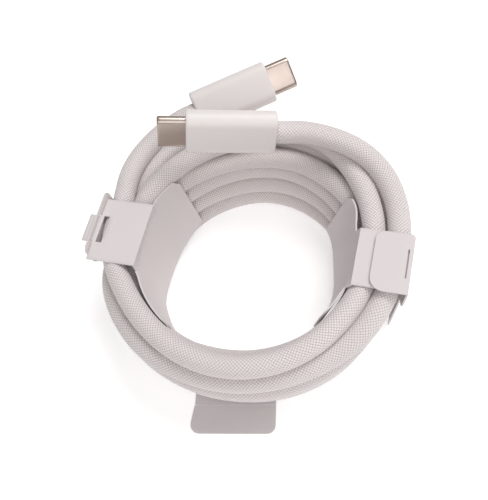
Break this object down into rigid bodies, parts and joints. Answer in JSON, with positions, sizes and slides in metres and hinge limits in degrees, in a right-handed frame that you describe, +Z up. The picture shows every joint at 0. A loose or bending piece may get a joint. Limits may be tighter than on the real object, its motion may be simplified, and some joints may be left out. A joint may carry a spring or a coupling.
{
  "type": "charging cable",
  "caption": "Braided charging cable wound into a coil and held by a folded paperboard wrap, with a flat reversible plug at each end.",
  "frame": {"origin": "centre of the bounding box in X and Y, at the surface the wrap lies on", "axes": "+Z up along the coil's axis, -Y towards the front tab, +X towards the strap with the closed top flap"},
  "size_m": [0.0772, 0.0976, 0.0435],
  "materials": {
    "braid": "woven sleeve, off-white, matt",
    "white_gloss": "smooth moulded, glossy, warm white",
    "plug_steel": "drawn and satin plated",
    "spring_steel": "stamped, plain",
    "contact_gold": "gold-plated",
    "carrier_black": "moulded, matt",
    "chip_black": "moulded, matt",
    "board_green": "solder mask, satin",
    "inner_jacket": "extruded, matt",
    "paperboard": "uncoated white fibre board, matt"
  },
  "bodies": {
    "coil_and_plugs": {"cable_coil": "braid", "cable_lead_a": "braid", "cable_lead_b": "braid", "plug_a_shell": "plug_steel", "plug_a_contact_carrier": "carrier_black", "plug_a_contacts_upper": "contact_gold", "plug_a_contacts_lower": "contact_gold", "plug_a_side_latch": "spring_steel", "plug_a_rear_wafer": "carrier_black", "plug_a_circuit_board": "board_green", "plug_a_controller_chip": "chip_black", "plug_a_capacitor": "contact_gold", "plug_a_shield_can": "spring_steel", "plug_a_inner_jacket": "inner_jacket", "plug_a_crimp_ring": "spring_steel", "plug_a_front_bezel": "white_gloss", "plug_a_rear_cap": "white_gloss", "plug_a_housing": "white_gloss", "plug_b_shell": "plug_steel", "plug_b_contact_carrier": "carrier_black", "plug_b_contacts_upper": "contact_gold", "plug_b_contacts_lower": "contact_gold", "plug_b_side_latch": "spring_steel", "plug_b_rear_wafer": "carrier_black", "plug_b_circuit_board": "board_green", "plug_b_controller_chip": "chip_black", "plug_b_capacitor": "contact_gold", "plug_b_shield_can": "spring_steel", "plug_b_inner_jacket": "inner_jacket", "plug_b_crimp_ring": "spring_steel", "plug_b_front_bezel": "white_gloss", "plug_b_rear_cap": "white_gloss", "plug_b_housing": "white_gloss", "wrap_base_ring": "paperboard", "wrap_left_arm": "paperboard", "wrap_right_arm": "paperboard"},
    "left_outer_flap": {"wrap_left_outer_flap": "paperboard"},
    "right_outer_wall": {"wrap_right_outer_wall": "paperboard"},
    "right_top_flap": {"wrap_right_top_flap": "paperboard"},
    "front_tab": {"wrap_front_tab": "paperboard"}
  },
  "joints": [
    {"name": "left_flap_fold", "type": "hinge", "parent": "coil_and_plugs", "child": "left_outer_flap", "pos_m": [-0.03367, -0.00955, 0.0004], "axis": [0, -1, 0], "range_deg": [0, 60]},
    {"name": "right_wall_fold", "type": "hinge", "parent": "coil_and_plugs", "child": "right_outer_wall", "pos_m": [0.03463, -0.00985, 0.0004], "axis": [0, 1, 0], "range_deg": [0, 60]},
    {"name": "right_top_flap_fold", "type": "hinge", "parent": "right_outer_wall", "child": "right_top_flap", "pos_m": [0.03843, -0.00985, 0.0279], "axis": [0, 1, 0], "range_deg": [0, 100]},
    {"name": "front_tab_fold", "type": "hinge", "parent": "coil_and_plugs", "child": "front_tab", "pos_m": [0.00635, -0.03929, 0.0002], "axis": [-0.9823, -0.1874, 0], "range_deg": [0, 50]}
  ]
}
